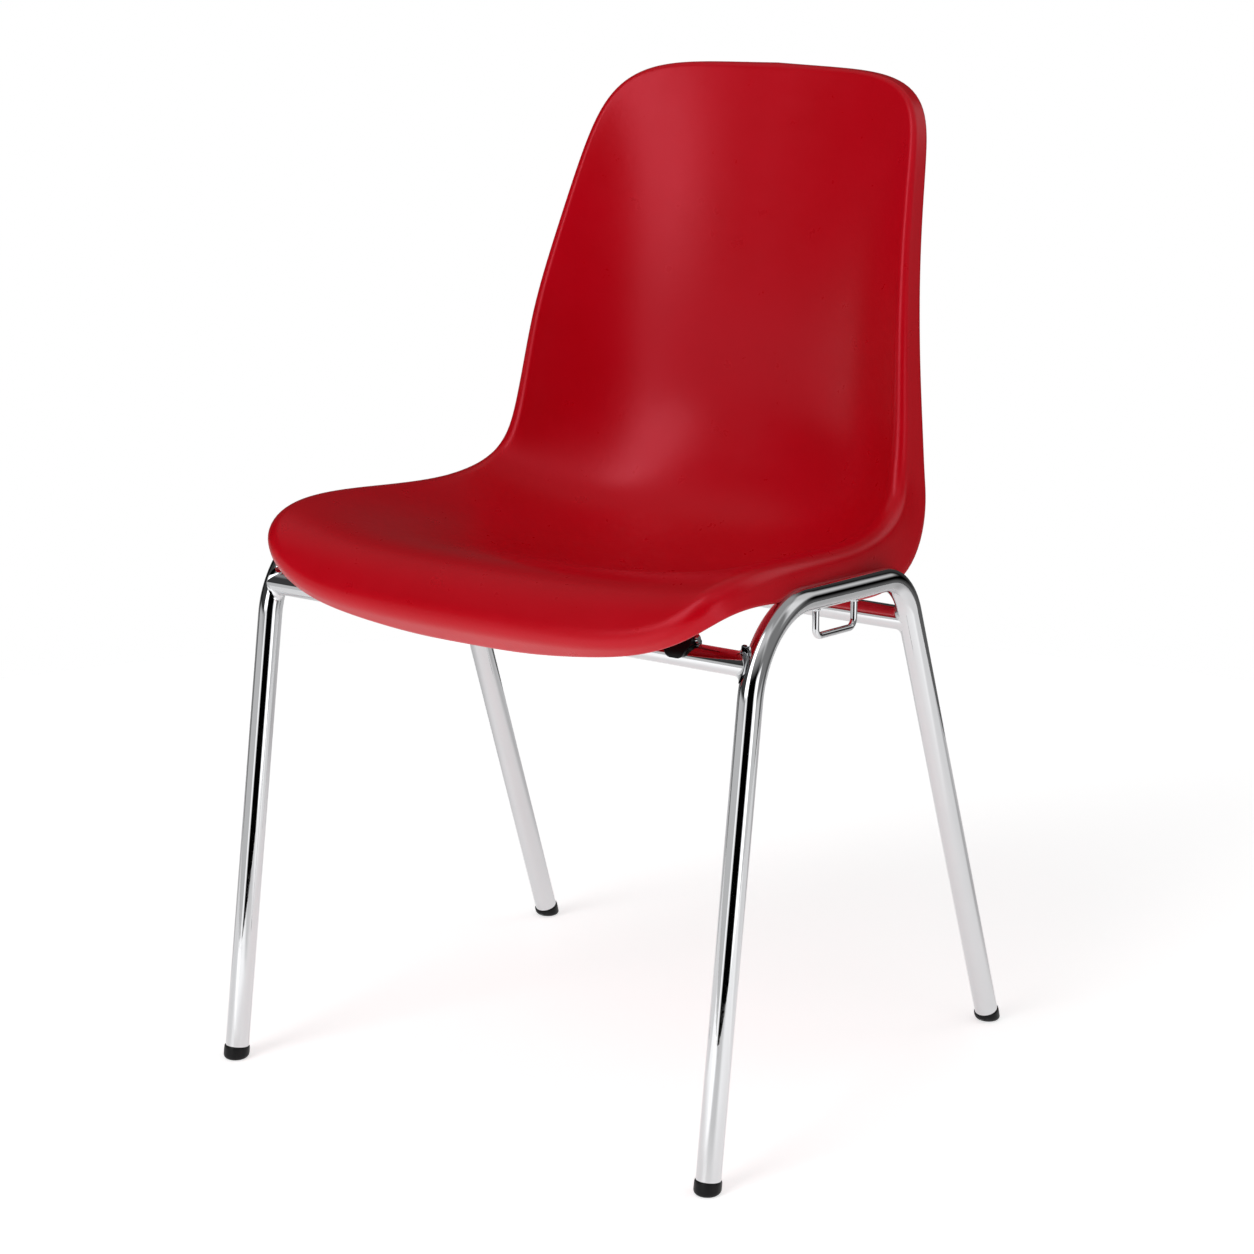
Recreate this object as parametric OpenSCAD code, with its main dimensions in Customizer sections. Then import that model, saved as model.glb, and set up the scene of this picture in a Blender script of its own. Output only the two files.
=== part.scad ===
// Stacking chair: one moulded bucket shell on a bent steel tube frame.
// Frame of reference: millimetres, +Z up, z = 0 on the floor, the sitter faces -Y.
// x = 0 is the plane of symmetry and y = 0 lies midway between the front and the rear feet.
// "left" is the sitter's left, which is +X.

/* [Shell profile] */
// Each station is [forward position, height, half width, side rise] along the shell's centre line
// Front lip
station_lip = [-215, 429, 214, -5]; // [-300:0.5:900]
// Crest behind the front lip
station_crest = [-190, 460, 220, 10]; // [-300:0.5:900]
// Behind the knees
station_knee = [-128.5, 452, 221, 25]; // [-300:0.5:900]
// Under the thighs
station_thigh = [-48.5, 426.5, 213.5, 41.5]; // [-300:0.5:900]
// Lowest part of the seat
station_seat = [41.5, 407.5, 203, 51.5]; // [-300:0.5:900]
// Rear of the seat
station_tail = [123, 416.5, 194, 55.5]; // [-300:0.5:900]
// Where the seat turns up into the back
station_turn = [172.5, 457.5, 188.5, 62.5]; // [-300:0.5:900]
// Small of the back
station_lumbar = [194, 521, 187, 66]; // [-300:0.5:900]
// Middle of the back
station_mid_back = [194.5, 591, 182, 60]; // [-300:0.5:900]
// Upper back
station_upper_back = [204, 669.5, 171.5, 47]; // [-300:0.5:900]
// Shoulder blades
station_shoulder = [219, 753, 170, 37]; // [-300:0.5:900]
// Top edge
station_top = [230, 811.5, 187.5, 28]; // [-300:0.5:900]

/* [Shell form] */
// Wall thickness of the moulding, mm
shell_wall = 4; // [3:0.5:6]
// Squareness of the two front corners
front_squareness = 6; // [2:0.1:8]
// Squareness of the two top corners
top_squareness = 5; // [2:0.1:8]
// How sharply the sides curl up from the flat middle
side_curl = 2.8; // [2:0.1:4]
// Outward lean of the rim flange, degrees
flange_draft = 8; // [0:1:15]

/* [Rim] */
// Each value leads a smooth run; the pair is [roll radius, flange depth], mm
// Rim at the middle of the front
rim_front_middle = [17, 18]; // [0:0.5:60]
// Rim a little to the side of that
rim_front_inner = [17, 18]; // [0:0.5:60]
// Rim nearer the front corner
rim_front_outer = [15, 9]; // [0:0.5:60]
// Rim at the front corner
rim_front_corner = [14, 6]; // [0:0.5:60]
// Rim beside the seat
rim_seat_side = [12.5, 29]; // [0:0.5:60]
// Rim at the hip, where it runs deepest
rim_hip = [11, 48]; // [0:0.5:60]
// Rim where the seat turns up into the back
rim_waist = [8.5, 24]; // [0:0.5:60]
// Rim beside the back
rim_back_side = [6.5, 17]; // [0:0.5:60]
// Rim below the top corner
rim_top_corner = [5, 14]; // [0:0.5:60]
// Rim past the top corner
rim_top_outer = [5.5, 11]; // [0:0.5:60]
// Rim nearer the middle of the top
rim_top_inner = [6.5, 4]; // [0:0.5:60]
// Rim at the middle of the top
rim_top_middle = [8, 4]; // [0:0.5:60]

/* [Frame] */
// Outside diameter of the bent side tubes, mm
tube_d = 20; // [16:0.5:25]
// Outside diameter of the two cross tubes, mm
cross_d = 19.5; // [14:0.5:25]
// Wall of every tube, mm
tube_wall = 1.5; // [1:0.1:3]
// Floor point of the left front leg
front_foot = [240.5, -223, 0]; // [-250:0.5:250]
// Where the left front leg's axis meets the rail's axis
front_corner = [238, -155.7, 446]; // [-200:0.1:450]
// Where the left rear leg's axis meets the rail's axis
rear_corner = [233.6, 66.6, 429.6]; // [-200:0.1:450]
// Floor point of the left rear leg
rear_foot = [240, 223, 0]; // [-250:0.5:250]
// Bend radius on the axis at the front, mm
front_bend = 75; // [40:1:100]
// Bend radius on the axis at the rear, mm
rear_bend = 52; // [40:1:100]
// Height of the front cross tube's axis, mm
front_cross_z = 404.5; // [350:0.5:420]
// Height of the rear cross tube's axis, mm
rear_cross_z = 390; // [350:1:420]

// Side of the weld bead where a cross tube meets a leg, mm
weld_size = 2.5; // [1:0.5:5]

/* [Foot caps] */
// Outside diameter of a foot cap at its fullest, mm
cap_d = 22; // [21:0.5:30]
// Length of a foot cap along the leg, mm
cap_length = 11; // [8:0.5:30]
// Distance from the floor point to the tube's end inside the cap, mm
cap_floor = 6; // [5:0.5:12]
// How much narrower a foot cap is at its ends than at its fullest, mm
cap_edge = 0.6; // [0.2:0.1:0.9]
// Rounding of a foot cap's lower edge, mm
cap_round = 4; // [2:0.5:5]

/* [Shell fixings] */
// Distance of each front fixing from the plane of symmetry, mm
front_fixing_x = 174.5; // [120:0.5:190]
// Distance of each rear fixing from the plane of symmetry, mm
rear_fixing_x = 125; // [100:1:150]
// Width of a clip along its cross tube, mm
clip_width = 24; // [20:1:45]
// Thickness of a clip's tongues around the tube, mm
lip_wall = 3; // [2:0.5:5]
// Height above the tube's axis at which a clip begins to narrow to its tongue, mm
lip_shoulder = 10; // [8:0.5:12]
// How far a clip's tongues reach below the tube's axis, mm
lip_drop = 0.5; // [0:0.5:6]
// Rounding of the tongues' lower corners, mm
lip_round = 6; // [1:0.5:7]
// Half the width between those corners' centres, mm
lip_half = 3; // [1:0.5:5]
// Thickness of a clip between its tube and its lug, mm
saddle_web = 1.5; // [1:0.5:3]
// Thickness of a clip's ears around the pin, mm
ear_wall = 2.5; // [1:0.5:5]
// Gap between a lug and the clip around it, mm
slot_gap = 0.3; // [0.1:0.1:1]
// Diameter of the pin through a clip, mm
pin_d = 5; // [4:0.5:10]
// Radial clearance of a pin in its holes, mm
pin_clearance = 0.1; // [0.05:0.05:0.3]
// Height of a pin's axis above the cross tube's axis, mm
pin_rise = 13.5; // [13:0.5:25]
// Diameter of a pin's head, mm
head_d = 7; // [6:0.5:14]
// Thickness of a pin's head, mm
head_t = 3; // [2:0.5:6]
// Chamfer of a pin's head, mm
head_chamfer = 1; // [0.5:0.5:2]
// How far a pin's plain end stands out of its clip, mm
pin_proud = 2; // [0:0.5:5]
// Width along X of the shell's lug between a clip's ears, mm
lug_width = 14; // [8:1:20]
// Front-to-back depth of a lug, mm
lug_depth = 10; // [8:1:20]
// How far a lug's foot is laminated into the shell's wall, mm
lug_bite = 2; // [1:0.5:3]

/* [Row links] */
// Diameter of the link wire, mm
link_d = 5.5; // [4:0.5:8]
// Position along Y of the loop's front leg, mm
loop_front = -70; // [-120:1:0]
// Position along Y of the loop's rear leg, mm
loop_rear = -11; // [-60:1:40]
// Drop of the loop's bottom bar below the rail's axis, mm
loop_drop = 32; // [25:1:60]
// Bend radius of the link wire on its axis, mm
link_bend = 7; // [5:1:15]
// Drop of the hook's arm below the rail's axis, mm
hook_drop = 21; // [16:1:40]
// Reach of the hook's arm outward from the rail's axis, mm
hook_reach = 40; // [30:1:60]
// Drop of the hook's tip below its arm, mm
hook_tip = 18; // [10:1:30]

/* [Fineness] */
// Facets across the shell
cells_across = 24; // [8:2:40]
// Facets along the shell
cells_along = 36; // [8:2:60]
// Facets around the rolled rim
roll_steps = 4; // [2:1:8]
// Facets down the flange
flange_steps = 2; // [1:1:6]
// Facets round a corner of a clip's tongue or of a foot cap's lower edge
corner_steps = 8; // [2:1:16]

/* [Hidden] */
$fn = 64;
// Small differences used for slopes: along the surface, and round its outline in degrees
step = 0.001;
angle_step = 0.06;
// Stretch of the seat searched for a lug's top, and the number of halvings
seat_from = -0.95;
seat_to = 0.1;
halvings = 24;
// How far a bore runs past the end of its tube
joint_over = 1;
// How far a straight run reaches into a bend, and how much thinner the bend is drawn
lap = 0.3;
bend_draw = 0.03;
tube_r = tube_d / 2;
cross_r = cross_d / 2;
link_r = link_d / 2;
pin_r = pin_d / 2;
stations = [station_lip, station_crest, station_knee, station_thigh, station_seat, station_tail,
            station_turn, station_lumbar, station_mid_back, station_upper_back, station_shoulder,
            station_top];
rim = [rim_front_middle, rim_front_inner, rim_front_outer, rim_front_corner, rim_seat_side, rim_hip,
       rim_waist, rim_back_side, rim_top_corner, rim_top_outer, rim_top_inner, rim_top_middle];
rings = roll_steps + flange_steps;
around = 2 * (cells_across + cells_along);

// ---------- general geometry ----------

function unit(v) = v / norm(v);

function mirror_x(p) = [-p.x, p.y, p.z];

function at_height(a, b, z) = a + (b - a) * (z - a.z) / (b.z - a.z);

function at_depth(a, b, y) = a + (b - a) * (y - a.y) / (b.y - a.y);

// Children drawn with their x and z axes along the given unit vectors.
module place(origin, x_axis, z_axis) {
    y_axis = cross(z_axis, x_axis);
    multmatrix([[x_axis.x, y_axis.x, z_axis.x, origin.x],
                [x_axis.y, y_axis.y, z_axis.y, origin.y],
                [x_axis.z, y_axis.z, z_axis.z, origin.z],
                [0, 0, 0, 1]])
        children();
}

// Round bar from one point to another.
module bar(from, to, r, side = [1, 0, 0]) {
    along = unit(to - from);
    across = unit(side - (side * along) * along);
    place(from, across, along)
        cylinder(h = norm(to - from), r = r);
}

function bend_angle(a, c, b) = acos(unit(c - a) * unit(b - c));

function bend_cut(a, c, b, radius) = radius * tan(bend_angle(a, c, b) / 2);

// Round bar bent through the corner c on the way from a to b.
module bend(a, c, b, radius, r) {
    into = unit(c - a);
    away = unit(b - c);
    angle = bend_angle(a, c, b);
    inward = unit(away - (into * away) * into);
    start = c - into * bend_cut(a, c, b, radius);
    centre = start + inward * radius;
    spin = cross(-inward, into);
    place(centre, -inward, spin)
        rotate_extrude(angle = angle)
            translate([radius, 0])
                circle(r = r);
}

// Round bar along the open path a, b, c, d with bends at b and c.
// The straight runs reach a little into the bends, which are drawn slightly thinner.
module bent_bar(a, b, c, d, radius_b, radius_c, r) {
    cut_b = bend_cut(a, b, c, radius_b) - lap;
    cut_c = bend_cut(b, c, d, radius_c) - lap;
    side_a = unit(cross(cross(b - a, c - b), b - a));
    side_d = unit(cross(cross(c - b, d - c), d - c));
    side_m = unit(cross(cross(b - a, c - b), c - b));
    bar(a, b + unit(a - b) * cut_b, r, side_a);
    bend(a, b, c, radius_b, r - bend_draw);
    bar(b + unit(c - b) * cut_b, c + unit(b - c) * cut_c, r, side_m);
    bend(b, c, d, radius_c, r - bend_draw);
    bar(c + unit(d - c) * cut_c, d, r, side_d);
}

// ---------- shell surface ----------

function knot(list, i) =
    i < 0 ? 2 * list[0] - list[1]
    : i >= len(list) ? 2 * list[len(list) - 1] - list[len(list) - 2]
    : list[i];

// Smooth curve led by a list of values, t from 0 at the first to 1 at the last.
function blend(list, t) =
    let (n = len(list) - 1,
         s = max(0, min(1, t)) * n,
         i = min(floor(s), n - 1),
         u = s - i)
    ((1 - u) ^ 3 * knot(list, i - 1)
     + (3 * u ^ 3 - 6 * u ^ 2 + 4) * knot(list, i)
     + (-3 * u ^ 3 + 3 * u ^ 2 + 3 * u + 1) * knot(list, i + 1)
     + u ^ 3 * knot(list, i + 2)) / 6;

// Square-on direction of the centre line at b, toward the sitter.
function centre_normal(b) =
    let (t = (b + 1) / 2,
         q = blend(stations, min(1, t + step)) - blend(stations, max(0, t - step)),
         d = unit([q[0], q[1]]))
    [0, -d[1], d[0]];

// Sitter's side of the shell; a runs -1 to 1 across, b runs -1 at the front to 1 at the top.
function skin(a, b) =
    let (v = blend(stations, (b + 1) / 2))
    [a * v[2], v[0], v[1]] + v[3] * abs(a) ^ side_curl * centre_normal(b);

function skin_normal(a, b) =
    unit(cross(skin(a + step, b) - skin(a - step, b), skin(a, b + step) - skin(a, b - step)));

// Rounded outline of the shell in the a, b plane, in the direction th.
function reach(th) =
    let (n = sin(th) < 0 ? front_squareness : top_squareness)
    (abs(cos(th)) ^ n + abs(sin(th)) ^ n) ^ (-1 / n);

function edge(th) = skin(reach(th) * cos(th), reach(th) * sin(th));

// A square grid of cells pressed into that outline.
function pressed(x, y) =
    let (m = max(abs(x), abs(y)),
         th = m == 0 ? 0 : atan2(y, x))
    m * reach(th) * [cos(th), sin(th)];

// Grid position of step l of the walk around the outline.
function walk(l) =
    l < cells_across ? [l, 0]
    : l < cells_across + cells_along ? [cells_across, l - cells_across]
    : l < 2 * cells_across + cells_along ? [2 * cells_across + cells_along - l, cells_along]
    : [0, around - l];

function grid_ab(i, j) = pressed(2 * i / cells_across - 1, 2 * j / cells_along - 1);

function walk_angle(l) =
    let (w = walk(l), p = grid_ab(w[0], w[1]))
    atan2(p[1], p[0]);

// Share of the way from the middle of the front (0) to the middle of the top (1).
function rim_share(th) =
    let (s = (th + 90 + 360) % 360 / 180)
    s > 1 ? 2 - s : s;

// Rim ring k of the walk at th: k = 0 is the edge, then the roll, then the flange.
// depth is measured inward from the outer skin.
function rim_point(th, k, depth) =
    let (p = edge(th),
         along = unit(edge(th + angle_step) - edge(th - angle_step)),
         ab = reach(th) * [cos(th), sin(th)],
         up0 = skin_normal(ab[0], ab[1]),
         up = unit(up0 - (up0 * along) * along),
         out = cross(along, up),
         lean0 = -cos(flange_draft) * centre_normal(ab[1]) + sin(flange_draft) * out,
         lean = unit(lean0 - (lean0 * along) * along),
         turn = acos(max(-1, min(1, lean * out))),
         size = blend(rim, rim_share(th)),
         g = turn * min(1, k / roll_steps),
         down = k > roll_steps ? size[1] * (k - roll_steps) / flange_steps : 0,
         face = sin(g) * out + cos(g) * up)
    p + size[0] * (sin(g) * out - (1 - cos(g)) * up) + down * lean - depth * face;

function layer(depth) = concat(
    [for (j = [0:cells_along], i = [0:cells_across])
        let (ab = grid_ab(i, j))
        skin(ab[0], ab[1]) - depth * skin_normal(ab[0], ab[1])],
    [for (k = [1:rings], l = [0:around - 1]) rim_point(walk_angle(l), k, depth)]);

grid_count = (cells_across + 1) * (cells_along + 1);
layer_count = grid_count + rings * around;

function grid_id(w) = w[1] * (cells_across + 1) + w[0];

function ring_id(k, l) =
    k == 0 ? grid_id(walk(l % around)) : grid_count + (k - 1) * around + l % around;

function layer_faces(base, flip) =
    let (quads = concat(
            [for (j = [0:cells_along - 1], i = [0:cells_across - 1])
                [grid_id([i, j]), grid_id([i, j + 1]), grid_id([i + 1, j + 1]), grid_id([i + 1, j])]],
            [for (k = [0:rings - 1], l = [0:around - 1])
                [ring_id(k, l), ring_id(k, l + 1), ring_id(k + 1, l + 1), ring_id(k + 1, l)]]))
    [for (q = quads, half = [0, 1])
        let (t = half == 0 ? [q[0], q[1], q[2]] : [q[0], q[2], q[3]])
        [for (c = flip ? [2, 1, 0] : [0, 1, 2]) base + t[c]]];

function hem_faces() =
    [for (l = [0:around - 1], half = [0, 1])
        let (a = ring_id(rings, l),
             b = ring_id(rings, l + 1))
        half == 0 ? [a, b, layer_count + b] : [a, layer_count + b, layer_count + a]];

module seat_shell() {
    color([0.62, 0.02, 0.06])
        polyhedron(points = concat(layer(0), layer(shell_wall)),
                   faces = concat(layer_faces(0, false), layer_faces(layer_count, true), hem_faces()),
                   convexity = 8);
}

// Place along the seat, as b, of the point (x, y) seen from above, found by halving.
function seat_b(x, y, low = seat_from, high = seat_to, left = halvings) =
    let (b = (low + high) / 2,
         v = blend(stations, (b + 1) / 2),
         p = skin(x / v[2], b))
    left == 0 ? b
    : p.y < y ? seat_b(x, y, b, high, left - 1)
    : seat_b(x, y, low, b, left - 1);

// Height of the shell's underside over the point (x, y).
function underside(x, y) =
    let (b = seat_b(x, y),
         a = x / blend(stations, (b + 1) / 2)[2],
         n = skin_normal(a, b))
    skin(a, b).z - shell_wall / n.z;

// ---------- frame ----------

front_leg = unit(front_corner - front_foot);
rear_leg = unit(rear_corner - rear_foot);
front_joint = at_height(front_foot, front_corner, front_cross_z);
rear_joint = at_height(rear_foot, rear_corner, rear_cross_z);

module side_tube_core(r, extra) {
    bent_bar(front_foot + front_leg * (cap_floor - extra), front_corner, rear_corner,
             rear_foot + rear_leg * (cap_floor - extra), front_bend, rear_bend, r);
}

module side_tube() {
    color([0.82, 0.83, 0.85])
        difference() {
            side_tube_core(tube_r, 0);
            side_tube_core(tube_r - tube_wall, joint_over);
        }
}

// Cross tube with coped ends and a weld bead round each leg's seam.
module cross_tube(joint, leg_foot, leg_corner) {
    bore_end = joint.x - sqrt(tube_r ^ 2 - (cross_r - tube_wall) ^ 2);
    color([0.82, 0.83, 0.85])
        difference() {
            union() {
                bar(mirror_x(joint), joint, cross_r, [0, 1, 0]);
                weld(joint, leg_foot, leg_corner);
                mirror([1, 0, 0])
                    weld(joint, leg_foot, leg_corner);
            }
            bar([-bore_end, joint.y, joint.z], [bore_end, joint.y, joint.z], cross_r - tube_wall, [0, 1, 0]);
            bar(leg_foot, leg_corner, tube_r);
            bar(mirror_x(leg_foot), mirror_x(leg_corner), tube_r);
        }
}

// Ring of weld metal: what lies close to both the left leg and the cross tube.
module weld(joint, leg_foot, leg_corner) {
    reach_in = tube_r + 2 * weld_size;
    intersection() {
        bar(leg_foot, leg_corner, tube_r + weld_size);
        bar(joint - [reach_in, 0, 0], joint, cross_r + weld_size, [0, 1, 0]);
    }
}

// ---------- foot caps ----------

// Half section of a foot cap: distance from the leg's axis, distance along the leg.
cap_r = cap_d / 2;
cap_section = [[0, -cap_floor], [cap_r, -cap_floor], [cap_r, cap_length / 2],
               [cap_r - cap_edge / 2, cap_length - cap_edge], [cap_r - cap_edge, cap_length],
               [tube_r, cap_length], [tube_r, cap_floor], [0, cap_floor]];

// Upright bowl that gives a cap its flat tread and round lower edge: distance from its axis, height.
bowl_round = [for (k = [0:corner_steps])
    let (g = 90 * k / corner_steps)
    [cap_r - cap_round * (1 - sin(g)), cap_round * (1 - cos(g))]];
bowl_section = concat([[0, 0]], bowl_round, [[2 * cap_d, 2 * cap_d], [0, 2 * cap_d]]);

module foot_cap(foot, leg) {
    side = unit([leg.z, 0, -leg.x]);
    bowl_foot = foot + leg * (cap_round / 2 / leg.z);
    color([0.03, 0.03, 0.03])
        intersection() {
            place(foot, side, leg)
                rotate_extrude()
                    polygon(cap_section);
            translate([bowl_foot.x, bowl_foot.y, 0])
                rotate_extrude()
                    polygon(bowl_section);
        }
}

// ---------- shell fixings ----------

front_axis = [front_fixing_x, front_joint.y, front_joint.z];
rear_axis = [rear_fixing_x, rear_joint.y, rear_joint.z];
lip_r = cross_r + lip_wall;
ear_r = pin_r + ear_wall;
ear_top = pin_rise + ear_r;
saddle_top = cross_r + saddle_web;

// Where the line from a touches a circle of radius r about c, on the side given by turn.
function touch(a, c, r, turn) =
    let (d = c - a,
         l = norm(d),
         g = turn * asin(r / l),
         k = sqrt(l ^ 2 - r ^ 2) / l)
    a + k * [d.x * cos(g) - d.y * sin(g), d.x * sin(g) + d.y * cos(g)];

// Outline of a clip as seen from the front: its ears above, and a round tongue below.
module clip_front() {
    shoulder = [clip_width / 2, lip_shoulder];
    round_at = [lip_half, lip_round - lip_drop];
    flank = touch(shoulder, round_at, lip_round, 1) - round_at;
    first = atan2(flank.y, flank.x);
    last = -90;
    corner = [for (k = [0:corner_steps])
        let (g = first + (last - first) * k / corner_steps)
        round_at + lip_round * [cos(g), sin(g)]];
    right = concat([[clip_width / 2, ear_top + joint_over], shoulder], corner);
    polygon(concat(right, [for (k = [len(right) - 1:-1:0]) [-right[k].x, right[k].y]]));
}

// Outline of a clip as seen from the side: round its tube, with flanks rising to a round top.
module clip_side() {
    rise = asin((lip_r - ear_r) / pin_rise);
    low = lip_r * [cos(rise), sin(rise)];
    high = [0, pin_rise] + ear_r * [cos(rise), sin(rise)];
    polygon([low, high, [-high.x, high.y], [-low.x, low.y]]);
    circle(r = lip_r + bend_draw);
    translate([0, pin_rise])
        circle(r = ear_r + bend_draw);
}

// Clip drawn about its cross tube's axis, which runs along X.
module clip(axis) {
    color([0.04, 0.04, 0.045])
        translate(axis)
            difference() {
                intersection() {
                    rotate([90, 0, 0])
                        linear_extrude(height = 4 * lip_r, center = true)
                            clip_front();
                    rotate([90, 0, 90])
                        linear_extrude(height = clip_width, center = true)
                            clip_side();
                }
                rotate([0, 90, 0])
                    cylinder(h = 2 * clip_width, r = cross_r, center = true);
                translate([-lug_width / 2 - slot_gap, -2 * lip_r, saddle_top])
                    cube([lug_width + 2 * slot_gap, 4 * lip_r, ear_top]);
                translate([0, 0, pin_rise])
                    rotate([0, 90, 0])
                        cylinder(h = 2 * clip_width, r = pin_r + pin_clearance, center = true);
            }
}

// Lug laminated under the shell, with an eye for the pin.
module lug(axis) {
    eye = axis + [-lug_width / 2, 0, pin_rise];
    low = axis.z + saddle_top + slot_gap;
    top = lug_bite + min([for (dx = [-1, 1], dy = [-1, 1])
        underside(axis.x + dx * lug_width / 2, axis.y + dy * lug_depth / 2)]);
    color([0.5, 0.02, 0.05])
        difference() {
            union() {
                translate(eye - [0, lug_depth / 2, 0])
                    cube([lug_width, lug_depth, top - eye.z]);
                intersection() {
                    translate(eye)
                        rotate([0, 90, 0])
                            cylinder(h = lug_width, r = lug_depth / 2);
                    translate([eye.x, eye.y - lug_depth, low])
                        cube([lug_width, 2 * lug_depth, lug_depth]);
                }
            }
            translate(eye - [lug_width, 0, 0])
                rotate([0, 90, 0])
                    cylinder(h = 3 * lug_width, r = pin_r + pin_clearance);
        }
}

// Headed pin, its head on the outer side.
module pin(axis) {
    inner = axis.x - clip_width / 2 - pin_proud;
    outer = axis.x + clip_width / 2;
    head_flat = head_t - head_chamfer;
    head_r = head_d / 2;
    color([0.75, 0.76, 0.78])
        translate([0, axis.y, axis.z + pin_rise])
            rotate([0, 90, 0]) {
                translate([0, 0, inner])
                    cylinder(h = outer - inner, r = pin_r);
                translate([0, 0, outer])
                    cylinder(h = head_flat, r = head_r);
                translate([0, 0, outer + head_flat])
                    cylinder(h = head_chamfer, r1 = head_r, r2 = head_r - head_chamfer);
            }
}

// ---------- row links ----------

module link_loop() {
    a = at_depth(front_corner, rear_corner, loop_front);
    d = at_depth(front_corner, rear_corner, loop_rear);
    color([0.78, 0.79, 0.81])
        difference() {
            bent_bar(a, a - [0, 0, loop_drop], d - [0, 0, loop_drop], d, link_bend, link_bend, link_r);
            bar(front_corner, rear_corner, tube_r);
        }
}

module link_hook() {
    root = at_depth(mirror_x(front_corner), mirror_x(rear_corner), (loop_front + loop_rear) / 2);
    knee = root - [0, 0, hook_drop];
    elbow = knee - [hook_reach, 0, 0];
    color([0.78, 0.79, 0.81])
        difference() {
            bent_bar(root, knee, elbow, elbow - [0, 0, hook_tip], link_bend, link_bend, link_r);
            bar(mirror_x(front_corner), mirror_x(rear_corner), tube_r);
        }
}

// ---------- left and right pieces ----------

module side_tube_left() side_tube();
module side_tube_right() mirror([1, 0, 0]) side_tube();
module cross_tube_front() cross_tube(front_joint, front_foot, front_corner);
module cross_tube_rear() cross_tube(rear_joint, rear_foot, rear_corner);
module foot_cap_front_left() foot_cap(front_foot, front_leg);
module foot_cap_front_right() mirror([1, 0, 0]) foot_cap(front_foot, front_leg);
module foot_cap_rear_left() foot_cap(rear_foot, rear_leg);
module foot_cap_rear_right() mirror([1, 0, 0]) foot_cap(rear_foot, rear_leg);
module clip_front_left() clip(front_axis);
module clip_front_right() mirror([1, 0, 0]) clip(front_axis);
module clip_rear_left() clip(rear_axis);
module clip_rear_right() mirror([1, 0, 0]) clip(rear_axis);
module lug_front_left() lug(front_axis);
module lug_front_right() mirror([1, 0, 0]) lug(front_axis);
module lug_rear_left() lug(rear_axis);
module lug_rear_right() mirror([1, 0, 0]) lug(rear_axis);
module pin_front_left() pin(front_axis);
module pin_front_right() mirror([1, 0, 0]) pin(front_axis);
module pin_rear_left() pin(rear_axis);
module pin_rear_right() mirror([1, 0, 0]) pin(rear_axis);

seat_shell();
side_tube_left();
side_tube_right();
cross_tube_front();
cross_tube_rear();
foot_cap_front_left();
foot_cap_front_right();
foot_cap_rear_left();
foot_cap_rear_right();
clip_front_left();
clip_front_right();
clip_rear_left();
clip_rear_right();
lug_front_left();
lug_front_right();
lug_rear_left();
lug_rear_right();
pin_front_left();
pin_front_right();
pin_rear_left();
pin_rear_right();
link_loop();
link_hook();
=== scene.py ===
import math

import bmesh
import bpy
import numpy as np
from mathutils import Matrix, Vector


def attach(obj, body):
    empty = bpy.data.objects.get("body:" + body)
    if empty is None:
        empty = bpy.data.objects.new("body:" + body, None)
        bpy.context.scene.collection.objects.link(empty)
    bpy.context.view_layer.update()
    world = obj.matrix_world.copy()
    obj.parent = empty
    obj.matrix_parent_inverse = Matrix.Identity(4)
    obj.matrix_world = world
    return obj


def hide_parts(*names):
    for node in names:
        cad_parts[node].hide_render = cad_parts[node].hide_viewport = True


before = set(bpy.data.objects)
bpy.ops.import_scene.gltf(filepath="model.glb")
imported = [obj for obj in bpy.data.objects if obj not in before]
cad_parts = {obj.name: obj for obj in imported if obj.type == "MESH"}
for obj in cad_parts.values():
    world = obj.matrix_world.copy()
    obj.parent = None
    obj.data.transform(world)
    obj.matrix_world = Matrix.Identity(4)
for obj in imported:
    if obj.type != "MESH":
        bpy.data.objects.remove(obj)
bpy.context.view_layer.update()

ROOT = "root"
MM = 0.001

# ---------- driving dimensions, in millimetres, as in the CAD source ----------

# Shell centre line: forward position, height, half width, side rise
STATIONS = {
    "lip": (-215, 429, 214, -5),
    "crest": (-190, 460, 220, 10),
    "knee": (-128.5, 452, 221, 25),
    "thigh": (-48.5, 426.5, 213.5, 41.5),
    "seat": (41.5, 407.5, 203, 51.5),
    "tail": (123, 416.5, 194, 55.5),
    "turn": (172.5, 457.5, 188.5, 62.5),
    "lumbar": (194, 521, 187, 66),
    "mid_back": (194.5, 591, 182, 60),
    "upper_back": (204, 669.5, 171.5, 47),
    "shoulder": (219, 753, 170, 37),
    "top": (230, 811.5, 187.5, 28),
}
# Rim, from the middle of the front round to the middle of the top: roll radius, flange depth
RIM = {
    "front_middle": (17, 18),
    "front_inner": (17, 18),
    "front_outer": (15, 9),
    "front_corner": (14, 6),
    "seat_side": (12.5, 29),
    "hip": (11, 48),
    "waist": (8.5, 24),
    "back_side": (6.5, 17),
    "top_corner": (5, 14),
    "top_outer": (5.5, 11),
    "top_inner": (6.5, 4),
    "top_middle": (8, 4),
}
SHELL_WALL = 4
FRONT_SQUARENESS = 6.0
TOP_SQUARENESS = 5.0
SIDE_CURL = 2.8
FLANGE_DRAFT = math.radians(8)

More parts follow.
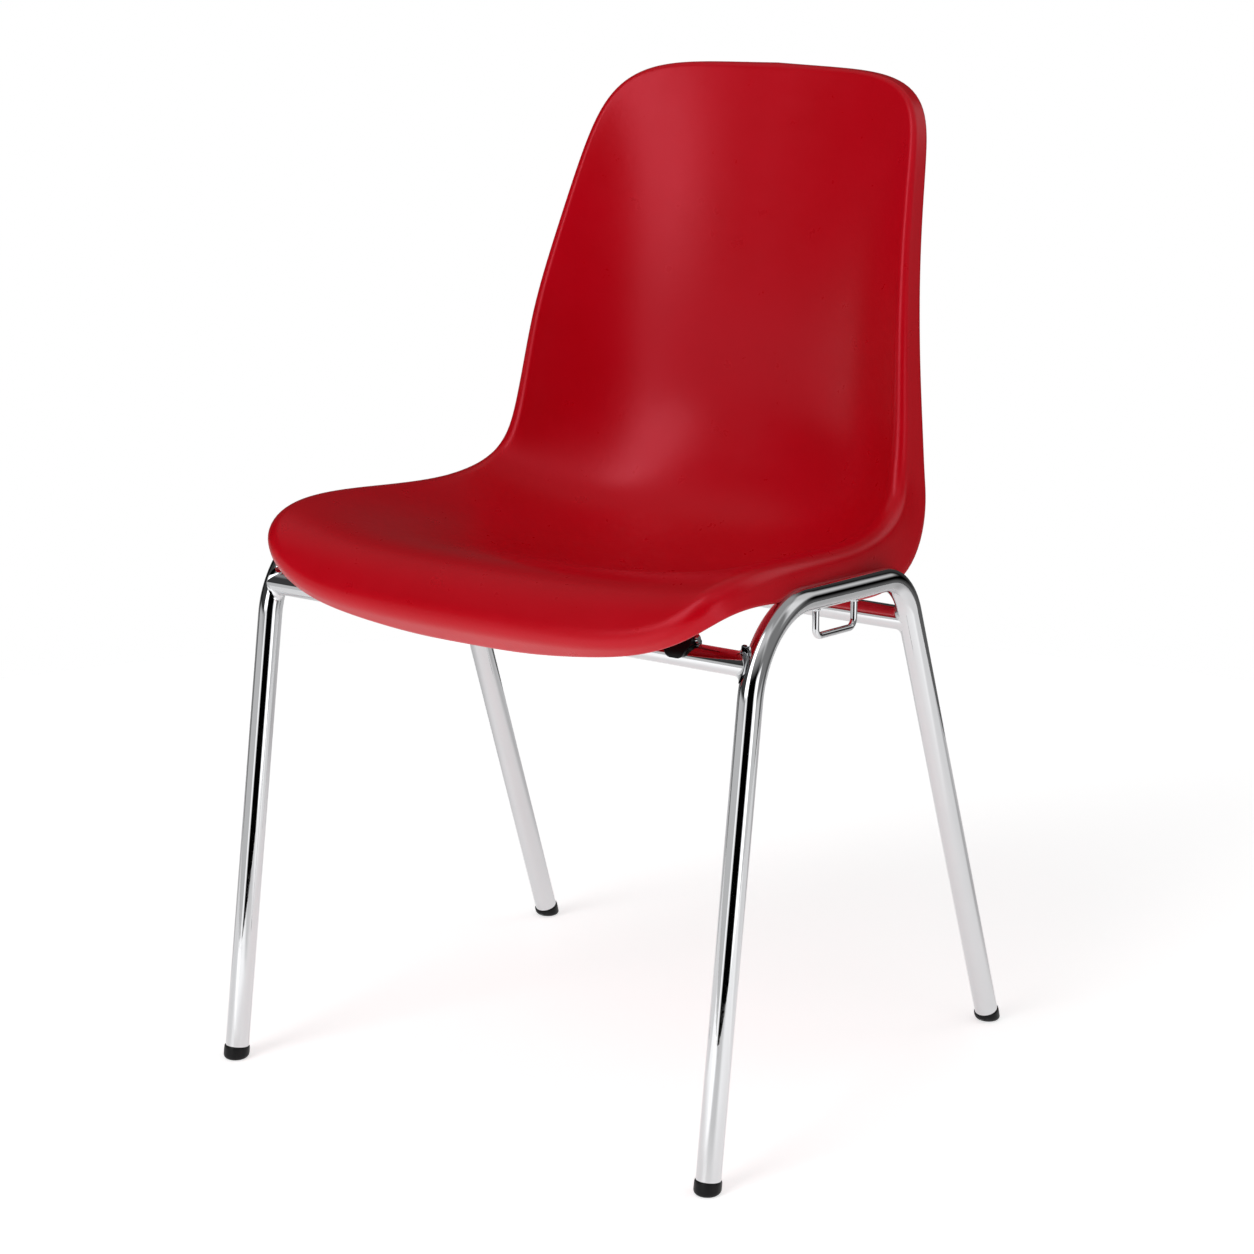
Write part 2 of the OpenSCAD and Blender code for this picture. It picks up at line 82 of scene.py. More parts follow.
TUBE_R = 10
CROSS_R = 9.75
FRONT_FOOT = Vector((240.5, -223, 0))
FRONT_CORNER = Vector((238, -155.7, 446))
REAR_CORNER = Vector((233.6, 66.6, 429.6))
REAR_FOOT = Vector((240, 223, 0))
FRONT_BEND = 75
REAR_BEND = 52
FRONT_CROSS_Z = 404.5
REAR_CROSS_Z = 390
CAP_FLOOR = 6
CAP_LENGTH = 11
CAP_R = 11
CAP_EDGE = 0.6
CAP_ROUND = 4
LINK_R = 2.75
LOOP_FRONT = -70
LOOP_REAR = -11
LOOP_DROP = 32
LINK_BEND = 7
HOOK_DROP = 21
HOOK_REACH = 40
HOOK_TIP = 18


# ---------- detail and fineness of the visual meshes only, in millimetres ----------

# Section of a foot cap above its wall, from the tube outward: radius, distance below the cap's top
CAP_MOUTH = {
    "tube": (TUBE_R - 0.2, 1),
    "inner_lip": (TUBE_R + 0.05, 0.1),
    "outer_lip": (CAP_R - CAP_EDGE, 0),
    "edge": (CAP_R - 0.35, 0.4),
    "shoulder": (CAP_R - 0.15, 1.2),
    "wall": (CAP_R - 0.05, 3),
}
WELD_SIZE = 5  # the fillet's reach where the tubes' surfaces meet squarely
WELD_LEAST = 0.15  # and where one runs smoothly into the other
WELD_STEPS = 8
CROSS_RINGS = np.linspace(-200, 200, 21)  # across the object, between the coped ends
LINK_BITE = 1  # how far a link's wire runs into its rail
HOOK_NOSE = (0.5, 0.55)  # length and end radius of the hook's blunted tip, in wire radii
BEAD_R = 0.9
BEAD_RIPPLE = 0.12
BEAD_DROP = 0.4  # below the rail's underside
CREASE = math.radians(38)  # edges turning by more than this stay sharp
SLOPE_STEP = 1e-3  # step in a surface parameter to find a slope
# About how far apart the rings of a bar stand: on a straight, and in a bend
TUBE_STEPS = (30, math.radians(3))
LINK_STEPS = (10, math.radians(6))
# Points round a section
TUBE_SIDES = 56
CROSS_SIDES = 96
CAP_SIDES = 64
LINK_SIDES = 28
BEAD_SIDES = 8


# ---------- materials ----------

# Darkest and lightest base colour
SHELL_RED = (0.53, 0.0006, 0.006), (0.57, 0.001, 0.009)
CHROME = (0.60, 0.605, 0.615), (0.64, 0.645, 0.655)
BLACK = (0.004, 0.004, 0.0045), (0.009, 0.009, 0.0095)
LUG_RED = (0.16, 0.003, 0.006), (0.24, 0.005, 0.009)
# Nearly all of a noise's values lie in this range
NOISE_RANGE = (0.3, 0.7)


class Tree:
    """Short calls to add and join the nodes of a node tree."""

    def __init__(self, tree):
        self.tree = tree

    def add(self, kind, **inputs):
        node = self.tree.nodes.new(kind)
        for key, value in inputs.items():
            node.inputs[key].default_value = value
        return node

    def join(self, source, target):
        self.tree.links.new(source, target)

    def ramp(self, source, low, high, out_low, out_high, smooth=False):
        node = self.add("ShaderNodeMapRange")
        if smooth:
            node.interpolation_type = "SMOOTHSTEP"
        self.join(source, node.inputs["Value"])
        node.inputs["From Min"].default_value = low
        node.inputs["From Max"].default_value = high
        node.inputs["To Min"].default_value = out_low
        node.inputs["To Max"].default_value = out_high
        return node.outputs["Result"]

    def maths(self, operation, *values):
        node = self.add("ShaderNodeMath")
        node.operation = operation
        for socket, value in zip(node.inputs, values):
            if isinstance(value, (int, float)):
                socket.default_value = value
            else:
                self.join(value, socket)
        return node.outputs["Value"]

    def mix(self, low, high, share):
        """low where share is 0 and high where it is 1."""
        return self.maths("ADD", self.maths("MULTIPLY", low, self.maths("SUBTRACT", 1, share)),
                          self.maths("MULTIPLY", share, high))

    def along(self, direction, axis):
        node = self.add("ShaderNodeVectorMath")
        node.operation = "DOT_PRODUCT"
        self.join(direction, node.inputs[0])
        node.inputs[1].default_value = axis
        return node.outputs["Value"]


class Surface(Tree):
    """A new material, with calls for its texture, tint and relief."""

    def __init__(self, name):
        self.material = bpy.data.materials.new(name)
        self.material.use_nodes = True
        super().__init__(self.material.node_tree)
        self.shader = self.tree.nodes["Principled BSDF"]
        self.place = self.add("ShaderNodeTexCoord").outputs["Object"]

    def noise(self, scale, detail=3.0, roughness=0.55, distortion=0.0):
        node = self.add("ShaderNodeTexNoise", Scale=scale, Detail=detail,
                        Roughness=roughness, Distortion=distortion)
        self.join(self.place, node.inputs["Vector"])
        return node.outputs["Fac"]

    def spread(self, noise, low, high):
        """A noise stretched to run from low to high."""
        return self.ramp(noise, *NOISE_RANGE, low, high)

    def tint(self, source, dark, light):
        node = self.add("ShaderNodeMix")
        node.data_type = "RGBA"
        self.join(source, node.inputs["Factor"])
        node.inputs["A"].default_value = (*dark, 1)
        node.inputs["B"].default_value = (*light, 1)
        self.join(node.outputs["Result"], self.shader.inputs["Base Color"])

    def bump(self, height, strength, distance, base=None):
        node = self.add("ShaderNodeBump", Strength=strength, Distance=distance)
        self.join(height, node.inputs["Height"])
        if base is not None:
            self.join(base, node.inputs["Normal"])
        self.join(node.outputs["Normal"], self.shader.inputs["Normal"])
        return node.outputs["Normal"]


def shell_material():
    m = Surface("shell_red")
    s = m.shader
    m.tint(m.spread(m.noise(9, 4), 0, 1), *SHELL_RED)
    m.join(m.spread(m.noise(55, 5, 0.6), 0.27, 0.32), s.inputs["Roughness"])
    s.inputs["Specular IOR Level"].default_value = 0.6
    s.inputs["Specular Tint"].default_value = (1, 0.26, 0.34, 1)
    wiggle = m.noise(140, detail=1.5, roughness=0.5, distortion=1.6)
    ridges = m.ramp(wiggle, 0.42, 0.58, 0, 1, smooth=True)
    grain = m.noise(900, detail=1, roughness=0.5)
    soft = m.bump(ridges, strength=0.10, distance=0.0002)
    m.bump(grain, strength=0.04, distance=0.0002, base=soft)
    return m.material


def chrome_material():
    m = Surface("chrome_tube")
    s = m.shader
    s.inputs["Metallic"].default_value = 1.0
    m.tint(m.noise(14, 3), *CHROME)
    haze = m.ramp(m.noise(38, 6, 0.65), 0.45, 0.75, 0.035, 0.11)
    m.join(haze, s.inputs["Roughness"])
    m.bump(m.noise(70, 2), strength=0.04, distance=0.0006)
    return m.material


def black_plastic(name, roughness, grain_scale):
    m = Surface(name)
    s = m.shader
    m.tint(m.noise(60, 4), *BLACK)
    s.inputs["Specular IOR Level"].default_value = 0.15
    m.join(m.spread(m.noise(120, 5), roughness - 0.06, roughness + 0.08), s.inputs["Roughness"])
    m.bump(m.noise(grain_scale, 3, 0.6), strength=0.12, distance=0.0003)
    return m.material


def lug_material():
    m = Surface("lug_red")
    m.tint(m.noise(80, 4), *LUG_RED)
    m.join(m.spread(m.noise(200, 5), 0.5, 0.7), m.shader.inputs["Roughness"])
    m.bump(m.noise(600, 4, 0.7), strength=0.3, distance=0.0004)
    return m.material


# ---------- mesh helpers ----------

def make_piece(name, points, faces, material, replaced):
    """A smooth mesh piece from points in millimetres."""
    mesh = bpy.data.meshes.new(name)
    mesh.from_pydata([tuple(Vector(p) * MM) for p in points], [], faces)
    mesh.validate()
    piece = bpy.data.objects.new(name, mesh)
    bpy.context.scene.collection.objects.link(piece)
    shape = bmesh.new()
    shape.from_mesh(mesh)
    bmesh.ops.recalc_face_normals(shape, faces=shape.faces)
    for face in shape.faces:
        face.smooth = True
    for edge in shape.edges:
        if len(edge.link_faces) == 2 and edge.calc_face_angle() > CREASE:
            edge.smooth = False
    shape.to_mesh(mesh)
    shape.free()
    mesh.materials.append(material)
    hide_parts(*replaced)
    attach(piece, ROOT)
    return piece


def flip_x(points):
    return [(-p[0], p[1], p[2]) for p in points]


def along_y(a, b, y):
    return a + (b - a) * ((y - a.y) / (b.y - a.y))


def along_z(a, b, z):
    return a + (b - a) * ((z - a.z) / (b.z - a.z))


def bent_path(corners, radii, steps):
    """Points along a polyline whose inner corners are rounded to the given radii."""
    straight_step, turn_step = steps
    path = [corners[0]]
    for i, radius in enumerate(radii):
        before, corner, after = corners[i], corners[i + 1], corners[i + 2]
        into = (corner - before).normalized()
        away = (after - corner).normalized()
        turn = into.angle(away)
        cut = radius * math.tan(turn / 2)
        inward = (away - into * into.dot(away)).normalized()
        centre = corner - into * cut + inward * radius
        count = max(4, round(turn / turn_step))
        for k in range(count + 1):
            g = turn * k / count
            path.append(centre - inward * (radius * math.cos(g)) + into * (radius * math.sin(g)))
    path.append(corners[-1])
    dense = [path[0]]
    for a, b in zip(path, path[1:]):
        parts = max(1, int((b - a).length / straight_step))
        dense += [a.lerp(b, (k + 1) / parts) for k in range(parts)]
    return dense


def frames_along(path, closed=False):
    """A normal and a binormal at each point, carried along the path without twist."""
    count = len(path)
    tangents = []
    for i in range(count):
        a = path[(i - 1) % count] if closed or i > 0 else path[i]
        b = path[(i + 1) % count] if closed or i < count - 1 else path[i]
        tangents.append((b - a).normalized())
    normal = tangents[0].orthogonal().normalized()
    result = []
    for t in tangents:
        normal = (normal - t * normal.dot(t)).normalized()
        result.append((normal.copy(), t.cross(normal)))
    return result


def round_angles(count):
    return [2 * math.pi * k / count for k in range(count)]


def wall_faces(rings, sides, closed=False):
    """Faces between rings of points that are numbered ring after ring."""
    faces = []
    for i in range(rings if closed else rings - 1):
        a, b = i * sides, (i + 1) % rings * sides
        faces += [(a + k, a + (k + 1) % sides, b + (k + 1) % sides, b + k) for k in range(sides)]
    return faces


def end_faces(rings, sides):
    """One face over the first ring and one over the last."""
    return [tuple(range(sides)), tuple((rings - 1) * sides + k for k in range(sides))]


def sweep(path, radii, sides, closed=False):
    """Points and faces of a round bar along path; radii is one number or one per point."""
    radii = [radii] * len(path) if isinstance(radii, (int, float)) else radii
    points = []
    for p, (n, b), r in zip(path, frames_along(path, closed), radii):
        points += [p + (n * math.cos(g) + b * math.sin(g)) * r for g in round_angles(sides)]
    faces = wall_faces(len(path), sides, closed)
    if not closed:
        first, last = end_faces(len(path), sides)
        faces += [first[::-1], last]
    return points, faces


def merge(*parts):
    """Joins (points, faces) lists into one."""
    points, faces = [], []
    for p, f in parts:
        faces += [tuple(i + len(points) for i in face) for face in f]
        points += list(p)
    return points, faces


# ---------- shell surface ----------

def blend(values, t):
    """Uniform cubic B-spline through padded ends; t is an array from 0 to 1."""
    values = np.asarray(values, float)
    n = len(values) - 1
    padded = np.vstack([2 * values[0] - values[1], values, 2 * values[-1] - values[-2]])
    s = np.clip(t, 0, 1) * n
    i = np.minimum(s.astype(int), n - 1)
    u = (s - i)[..., None]
    return ((1 - u) ** 3 * padded[i] + (3 * u ** 3 - 6 * u ** 2 + 4) * padded[i + 1]
            + (-3 * u ** 3 + 3 * u ** 2 + 3 * u + 1) * padded[i + 2] + u ** 3 * padded[i + 3]) / 6


def unit(v):
    return v / np.linalg.norm(v, axis=-1, keepdims=True)


def dot(a, b):
    return np.sum(a * b, axis=-1, keepdims=True)


def stations_at(b):
    return blend(list(STATIONS.values()), (b + 1) / 2)


def centre_normal(b):
    t = (b + 1) / 2
    values = [v[:2] for v in STATIONS.values()]
    d = unit(blend(values, np.minimum(1, t + SLOPE_STEP)) - blend(values, np.maximum(0, t - SLOPE_STEP)))
    return np.stack([0 * b, -d[..., 1], d[..., 0]], -1)


def skin(a, b):
    """The sitter's side of the shell: a is -1 to 1 across, b is -1 at the front to 1 at the top."""
    v = stations_at(b)
    base = np.stack([a * v[..., 2], v[..., 0], v[..., 1]], -1)
    return base + (v[..., 3] * np.abs(a) ** SIDE_CURL)[..., None] * centre_normal(b)


def skin_normal(a, b):
    e = SLOPE_STEP
    return unit(np.cross(skin(a + e, b) - skin(a - e, b), skin(a, b + e) - skin(a, b - e)))


def reach(th):
    n = np.where(np.sin(th) < 0, FRONT_SQUARENESS, TOP_SQUARENESS)
    return (np.abs(np.cos(th)) ** n + np.abs(np.sin(th)) ** n) ** (-1 / n)


def edge(th):
    return skin(reach(th) * np.cos(th), reach(th) * np.sin(th))


def rim_share(th):
    s = np.mod(th + math.pi / 2, 2 * math.pi) / math.pi
    return np.where(s > 1, 2 - s, s)


def rim_rings(th, roll_steps, flange_steps, depth, hem):
    """Rings of the rolled rim and its flange, depth inward from the outer skin; hem shortens the flange."""
    p = edge(th)
    e = SLOPE_STEP
    tangent = unit(edge(th + e) - edge(th - e))
    a, b = reach(th) * np.cos(th), reach(th) * np.sin(th)
    up = skin_normal(a, b)
    up = unit(up - dot(up, tangent) * tangent)
    out = np.cross(tangent, up)
    lean = math.sin(FLANGE_DRAFT) * out - math.cos(FLANGE_DRAFT) * centre_normal(b)
    lean = unit(lean - dot(lean, tangent) * tangent)
    turn = np.arccos(np.clip(dot(lean, out), -1, 1))
    sizes = blend(list(RIM.values()), rim_share(th))
    radius, flange = sizes[..., :1], sizes[..., 1:] - hem
    rings = []
    for k in range(1, roll_steps + flange_steps + 1):
        g = turn * min(1, k / roll_steps)
        down = flange * max(0, k - roll_steps) / flange_steps
        face = np.sin(g) * out + np.cos(g) * up
        rings.append(p + radius * (np.sin(g) * out - (1 - np.cos(g)) * up) + down * lean - depth * face)
    return rings, lean, face


def shell(material):
    """The bucket shell: a fine grid of the same surface as the CAD, with rounded hem."""
    across, along, roll, flange, hem_steps = 64, 96, 10, 6, 6
    i, j = np.meshgrid(np.arange(across + 1), np.arange(along + 1))
    x, y = 2 * i / across - 1, 2 * j / along - 1
    m = np.maximum(np.abs(x), np.abs(y))
    th = np.arctan2(y, x)
    a, b = m * reach(th) * np.cos(th), m * reach(th) * np.sin(th)
    top = skin(a, b).reshape(-1, 3)
    under = top - SHELL_WALL * skin_normal(a, b).reshape(-1, 3)
    walk = ([(k, 0) for k in range(across)] + [(across, k) for k in range(along)]
            + [(across - k, along) for k in range(across)] + [(0, along - k) for k in range(along)])
    loop = [w[1] * (across + 1) + w[0] for w in walk]
    angles = np.array([math.atan2(b[w[1], w[0]], a[w[1], w[0]]) for w in walk])
    half = SHELL_WALL / 2
    outer, lean, face = rim_rings(angles, roll, flange, 0, half)
    inner, _, _ = rim_rings(angles, roll, flange, SHELL_WALL, half)
    hem_centre = outer[-1] - half * face
    hem = [hem_centre + half * (math.cos(g) * face + math.sin(g) * lean)
           for g in (math.pi * k / hem_steps for k in range(1, hem_steps))]
    strips = outer + hem + inner[::-1]
    grid = len(top)
    points = np.vstack([top, under] + strips)
    faces = []
    for r in range(along):
        for c in range(across):
            q = [r * (across + 1) + c, (r + 1) * (across + 1) + c,
                 (r + 1) * (across + 1) + c + 1, r * (across + 1) + c + 1]
            faces.append(tuple(q))
            faces.append(tuple(v + grid for v in reversed(q)))
    count = len(loop)
    chain = [loop] + [[2 * grid + s * count + k for k in range(count)] for s in range(len(strips))]
    chain.append([v + grid for v in loop])
    for low, high in zip(chain, chain[1:]):
        for k in range(count):
            n = (k + 1) % count
            faces.append((low[k], low[n], high[n], high[k]))
    return make_piece("bucket_shell", points, faces, material, ["seat_shell"])


# ---------- frame ----------

def leg_axes():
    return {"front": (FRONT_FOOT, FRONT_CORNER), "rear": (REAR_FOOT, REAR_CORNER)}


def side_tube(side, material):
    into_front = (FRONT_CORNER - FRONT_FOOT).normalized() * CAP_FLOOR
    into_rear = (REAR_CORNER - REAR_FOOT).normalized() * CAP_FLOOR
    corners = [FRONT_FOOT + into_front, FRONT_CORNER, REAR_CORNER, REAR_FOOT + into_rear]
    points, faces = sweep(bent_path(corners, [FRONT_BEND, REAR_BEND], TUBE_STEPS), TUBE_R, TUBE_SIDES)
    if side == "right":
        points = flip_x(points)
    return make_piece(f"side_tube_{side}_chrome", points, faces, material, [f"side_tube_{side}"])


def cope(joint, axis):
    """Seam of the cross tube at joint on the left leg along axis, on the leg's inboard face."""
    ring = []
    for g in round_angles(CROSS_SIDES):
        start = Vector((0, joint.y + CROSS_R * math.cos(g), joint.z + CROSS_R * math.sin(g)))
        aside = start - joint
        along = Vector((1, 0, 0))
        # distance from the leg's axis equals the leg's radius
        w = aside - axis * aside.dot(axis)
        v = along - axis * along.dot(axis)
        qa, qb, qc = v.dot(v), 2 * w.dot(v), w.dot(w) - TUBE_R ** 2
        root = (-qb - math.sqrt(max(0, qb * qb - 4 * qa * qc))) / (2 * qa)
        ring.append(start + along * root)
    return ring


def weld_fillet(ring, joint, foot, axis):
    """A hollow fillet along the coped seam, fading where the two tubes run side by side."""
    shares = [k / WELD_STEPS for k in range(WELD_STEPS + 1)]
    rows = []
    for seam in ring:
        outward = (seam - Vector((seam.x, joint.y, joint.z))).normalized()
        from_leg = seam - foot
        leg_normal = (from_leg - axis * from_leg.dot(axis)).normalized()
        size = WELD_SIZE * (1 - outward.dot(leg_normal) ** 2) + WELD_LEAST
        start = seam - Vector((size, 0, 0))
        down = outward - leg_normal * outward.dot(leg_normal)
        end = seam + down.normalized() * size - foot
        end = foot + axis * end.dot(axis) + (end - axis * end.dot(axis)).normalized() * TUBE_R
        rows.append([start * (1 - u) ** 2 + seam * (2 * u * (1 - u)) + end * u ** 2 for u in shares])
    points = [p for row in rows for p in row]
    width = WELD_STEPS + 1
    faces = []
    for i in range(len(rows)):
        a, b = i * width, (i + 1) % len(rows) * width
        faces += [(a + k, a + k + 1, b + k + 1, b + k) for k in range(WELD_STEPS)]
    return points, faces


def cross_tube(end, height, material):
    foot, corner = leg_axes()[end]
    joint = along_z(foot, corner, height)
    axis = (corner - foot).normalized()
    ring = cope(joint, axis)
    points = flip_x(ring) + [(x, p.y, p.z) for x in CROSS_RINGS for p in ring] + ring
    rings = len(CROSS_RINGS) + 2
    faces = wall_faces(rings, CROSS_SIDES) + end_faces(rings, CROSS_SIDES)
    fillet = weld_fillet(ring, joint, foot, axis)
    other = (flip_x(fillet[0]), [f[::-1] for f in fillet[1]])
    points, faces = merge((points, faces), fillet, other)
    name = f"cross_tube_{end}"
    return make_piece(f"{name}_chrome", points, faces, material, [name])


def foot_cap(end, side, material):
    """A cap turned on the leg's axis, with a round lower edge and a flat tread."""
    foot, corner = leg_axes()[end]
    axis = (corner - foot).normalized()
    turn = Vector((0, 0, 1)).rotation_difference(axis)
    angles = round_angles(CAP_SIDES)
    points = []
    for r, drop in CAP_MOUTH.values():
        h = CAP_LENGTH - drop
        points += [foot + turn @ Vector((r * math.cos(g), r * math.sin(g), h)) for g in angles]
    round_steps = 8
    for k in range(round_steps + 1):
        lift = math.pi / 2 * (1 - k / round_steps)
        r = CAP_R - CAP_ROUND * (1 - math.sin(lift))
        z = CAP_ROUND * (1 - math.cos(lift))
        centre = foot + axis * (z / axis.z)
        points += [centre + Vector((r * math.cos(g), r * math.sin(g), 0)) for g in angles]
    rings = len(CAP_MOUTH) + round_steps + 1
    faces = wall_faces(rings, CAP_SIDES) + end_faces(rings, CAP_SIDES)
    if side == "right":
        points = flip_x(points)
    name = f"foot_cap_{end}_{side}"
    return make_piece(f"{name}_plastic", points, faces, material, [name])


# ---------- row links ----------

def weld_bead(root):
    """A slightly uneven ring of weld round the wire that hangs from the rail at root."""
    steps = 32
    centre = root - Vector((0, 0, TUBE_R + BEAD_DROP))
    circle = [centre + Vector((LINK_R * math.cos(g), LINK_R * math.sin(g), 0)) for g in round_angles(steps)]
    radii = [BEAD_R + BEAD_RIPPLE * math.sin(k * 2) for k in range(steps)]
    return sweep(circle, radii, BEAD_SIDES, closed=True)


def link_loop(material):
    a = along_y(FRONT_CORNER, REAR_CORNER, LOOP_FRONT)
    d = along_y(FRONT_CORNER, REAR_CORNER, LOOP_REAR)
    drop = Vector((0, 0, LOOP_DROP))
    start = Vector((0, 0, TUBE_R - LINK_BITE))
    path = bent_path([a - start, a - drop, d - drop, d - start], [LINK_BEND, LINK_BEND], LINK_STEPS)
    points, faces = merge(sweep(path, LINK_R, LINK_SIDES), weld_bead(a), weld_bead(d))
    return make_piece("link_loop_chrome", points, faces, material, ["link_loop"])


def link_hook(material):
    root = along_y(FRONT_CORNER, REAR_CORNER, (LOOP_FRONT + LOOP_REAR) / 2)
    root.x = -root.x
    knee = root - Vector((0, 0, HOOK_DROP))
    elbow = knee - Vector((HOOK_REACH, 0, 0))
    tip = elbow - Vector((0, 0, HOOK_TIP))
    start = root - Vector((0, 0, TUBE_R - LINK_BITE))
    path = bent_path([start, knee, elbow, tip], [LINK_BEND, LINK_BEND], LINK_STEPS)
    nose_length, nose_radius = HOOK_NOSE
    path.insert(-1, path[-1] + Vector((0, 0, LINK_R * nose_length)))
    radii = [LINK_R] * (len(path) - 1) + [LINK_R * nose_radius]
    points, faces = merge(sweep(path, radii, LINK_SIDES), weld_bead(root))
    return make_piece("link_hook_chrome", points, faces, material, ["link_hook"])


# ---------- studio ----------

# Lengths in metres
FLOOR_R = 1.4
FLOOR_SIDES = 128
FLOOR_WHITE = 0.78
FLOOR_ROUGHNESS = 0.55
FLOOR_GLOW = 0.65  # the light it gives off to the camera
CAMERA_AZIMUTH = math.radians(35.03)
CAMERA_ELEVATION = math.radians(14.27)
CAMERA_DISTANCE = 2.625
CAMERA_AIM = Vector((0.0092, 0, 0.3676))
CAMERA_LENS, CAMERA_SENSOR = 90.33, 36  # both in millimetres
# Panels of light round the object, in degrees: bearing from the camera's side, positive to the right of
# the picture; height; half width; half height; soft edge; and then the strength
PANELS = {
    "key": (-45, 38, 14, 32, 5, 3.1),
    "overhead": (0, 75, 200, 27, 9, 0.42),
    "upper_front": (0, 52, 45, 22, 10, 0.35),
    "left": (-92, 34, 28, 30, 8, 0.06),
    "left_low": (-75, -22, 35, 24, 3, 0.72),
    "far_left_low": (-140, -27, 30, 20, 8, 0.4),
    "left_strip": (-36, -20, 7, 24, 3, 1.3),
    "right_strip": (38, -10, 12, 26, 4, 1.6),
    "right": (70, 26, 38, 32, 6, 0.27),
    "right_low": (60, -27, 30, 20, 4, 0.8),
    "far_right_low": (125, -27, 35, 20, 8, 0.15),
    "far_right": (110, 30, 20, 18, 6, 0.8),
    "behind": (180, 0, 40, 45, 10, 0.05),
}
# Light the floor gives off to everything but the camera: bearing, half width, soft edge, strength
POOLS = {
    "front": (0, 16, 5, 0.45), "key": (-38, 22, 6, 1.05), "left": (-82, 24, 8, 0.6),
    "right": (36, 20, 6, 0.85), "far_right": (76, 22, 8, 0.55), "behind": (180, 70, 20, 0.3),
}
POOL_CENTRE = 0.68  # strength under the object
POOL_START = (0.25, 0.75)  # distance over which the pools take over from it, metres


def inside(tree, off, half, soft):
    """1 where the angle off is less than half and 0 where it is more, with a soft edge."""
    return tree.ramp(off, math.radians(half - soft), math.radians(half + soft), 1, 0, smooth=True)


def beam(tree, direction, bearing, half_width, soft):
    """1 inside a sector of bearings and 0 outside it."""
    turn = CAMERA_AZIMUTH + math.radians(bearing)
    ahead = tree.along(direction, (math.sin(turn), -math.cos(turn), 0))
    aside = tree.along(direction, (math.cos(turn), math.sin(turn), 0))
    off_side = tree.maths("ABSOLUTE", tree.maths("ARCTAN2", aside, ahead))
    return inside(tree, off_side, half_width, soft)


def panel(tree, direction, height, bearing, centre, half_width, half_height, soft, strength):
    """Brightness of one panel of light in the world's direction."""
    off_height = tree.maths("ABSOLUTE", tree.maths("SUBTRACT", height, math.radians(centre)))
    tall = inside(tree, off_height, half_height, soft)
    wide = beam(tree, direction, bearing, half_width, soft)
    return tree.maths("MULTIPLY", tree.maths("MULTIPLY", wide, tall), strength)


def white_floor():
    """A round floor, plain to the camera, that gives off pools of light to everything else."""
    mesh = bpy.data.meshes.new("floor")
    rim = [(FLOOR_R * math.cos(g), FLOOR_R * math.sin(g), 0) for g in round_angles(FLOOR_SIDES)]
    mesh.from_pydata(rim, [], [tuple(range(FLOOR_SIDES))])
    floor = bpy.data.objects.new("floor", mesh)
    bpy.context.scene.collection.objects.link(floor)
    m = Surface("floor_white")
    m.shader.inputs["Base Color"].default_value = (FLOOR_WHITE, FLOOR_WHITE, FLOOR_WHITE, 1)
    m.shader.inputs["Roughness"].default_value = FLOOR_ROUGHNESS
    m.shader.inputs["Emission Color"].default_value = (1, 1, 1, 1)
    glow = 0.0
    for bearing, half_width, soft, strength in POOLS.values():
        pool = beam(m, m.place, bearing, half_width, soft)
        glow = m.maths("ADD", m.maths("MULTIPLY", pool, strength), glow)
    x, y = m.along(m.place, (1, 0, 0)), m.along(m.place, (0, 1, 0))
    away = m.maths("SQRT", m.maths("ADD", m.maths("MULTIPLY", x, x), m.maths("MULTIPLY", y, y)))
    under = m.ramp(away, *POOL_START, 1, 0, smooth=True)
    glow = m.mix(glow, POOL_CENTRE, under)
    seen = m.add("ShaderNodeLightPath").outputs["Is Camera Ray"]
    glow = m.mix(glow, FLOOR_GLOW, seen)
    m.join(glow, m.shader.inputs["Emission Strength"])
    mesh.materials.append(m.material)


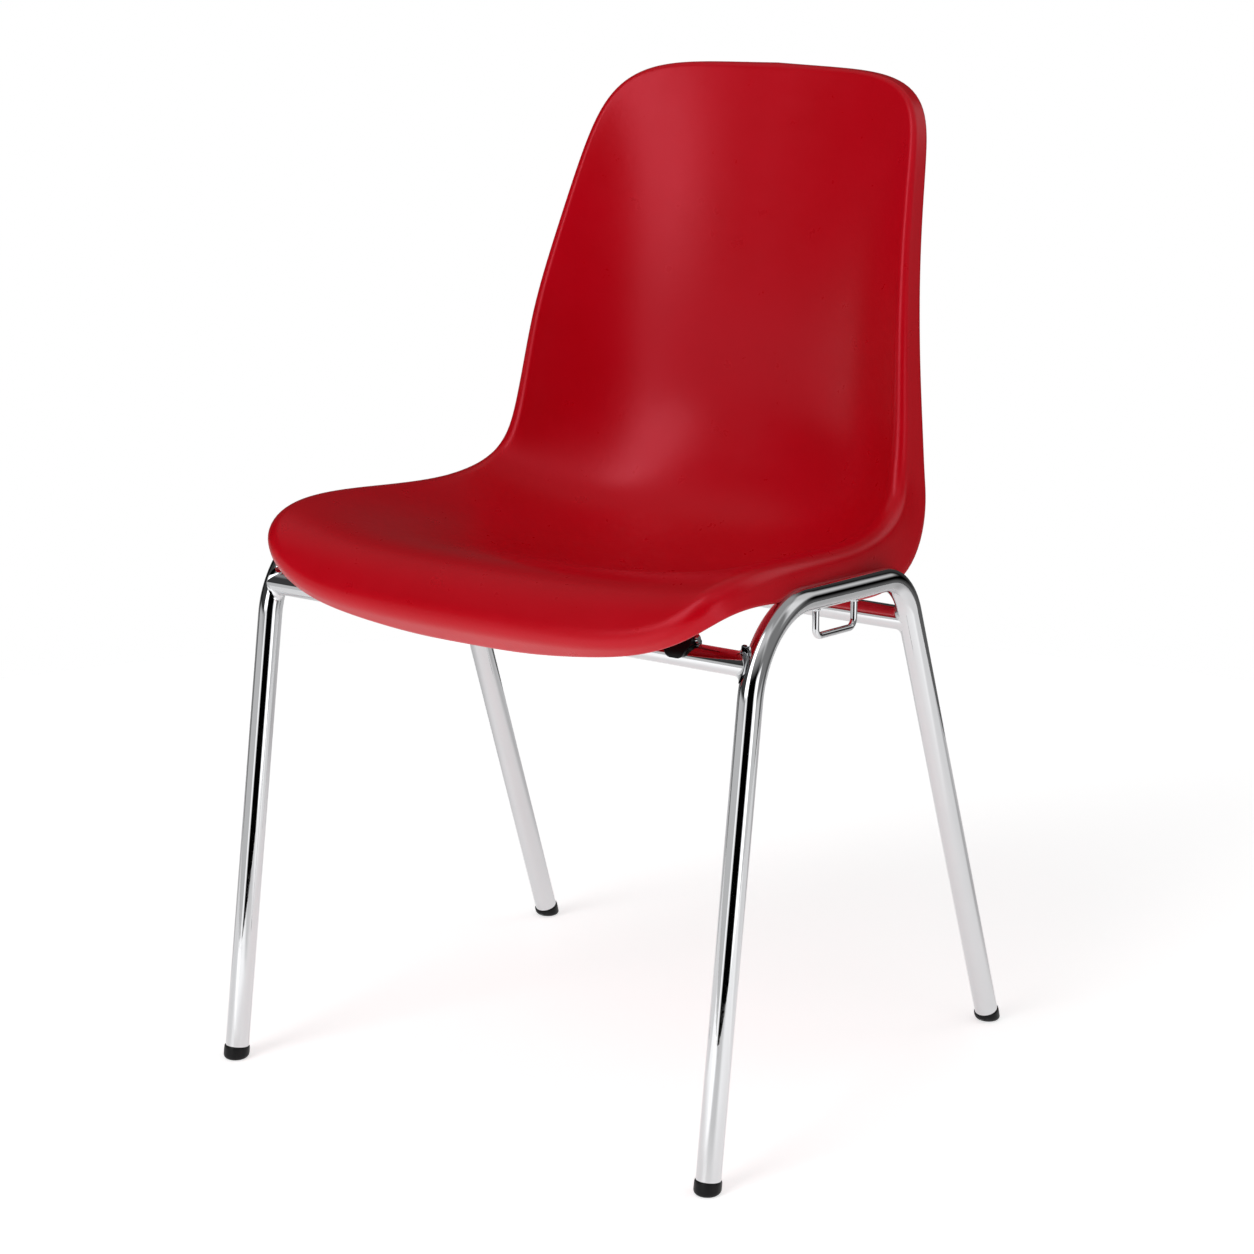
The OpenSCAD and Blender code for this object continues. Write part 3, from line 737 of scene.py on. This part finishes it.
def light_panels():
    """A world of soft panels of light, where the camera itself sees a plain white backdrop."""
    world = bpy.data.worlds.new("studio")
    bpy.context.scene.world = world
    world.use_nodes = True
    tree = Tree(world.node_tree)
    direction = tree.add("ShaderNodeTexCoord").outputs["Generated"]
    height = tree.maths("ARCSINE", tree.along(direction, (0, 0, 1)))
    light = 0.0
    for values in PANELS.values():
        light = tree.maths("ADD", panel(tree, direction, height, *values), light)
    seen = tree.add("ShaderNodeLightPath").outputs["Is Camera Ray"]
    light = tree.maths("MAXIMUM", tree.maths("MULTIPLY", light, tree.maths("SUBTRACT", 1, seen)), seen)
    back = world.node_tree.nodes["Background"]
    back.inputs["Color"].default_value = (1, 1, 1, 1)
    tree.join(light, back.inputs["Strength"])


def camera():
    azimuth, elevation = CAMERA_AZIMUTH, CAMERA_ELEVATION
    ahead = Vector((-math.sin(azimuth) * math.cos(elevation), math.cos(azimuth) * math.cos(elevation),
                    -math.sin(elevation)))
    data = bpy.data.cameras.new("camera")
    data.sensor_width = CAMERA_SENSOR
    data.lens = CAMERA_LENS
    data.clip_end = 100
    eye = bpy.data.objects.new("camera", data)
    eye.location = CAMERA_AIM - ahead * CAMERA_DISTANCE
    eye.rotation_euler = (math.pi / 2 - elevation, 0, azimuth)
    bpy.context.scene.collection.objects.link(eye)
    bpy.context.scene.camera = eye


# ---------- build ----------

camera()
white_floor()
light_panels()
bpy.context.scene.view_settings.view_transform = "Standard"
red = shell_material()
chrome = chrome_material()
cap_black = black_plastic("cap_black", 0.36, 500)
clip_black = black_plastic("clip_black", 0.38, 900)
lug_red = lug_material()
shell(red)
for side in ("left", "right"):
    side_tube(side, chrome)
    for end in ("front", "rear"):
        foot_cap(end, side, cap_black)
cross_tube("front", FRONT_CROSS_Z, chrome)
cross_tube("rear", REAR_CROSS_Z, chrome)
link_loop(chrome)
link_hook(chrome)
for end in ("front", "rear"):
    for side in ("left", "right"):
        for kind, material in (("clip", clip_black), ("lug", lug_red), ("pin", chrome)):
            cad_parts[f"{kind}_{end}_{side}"].data.materials[0] = material
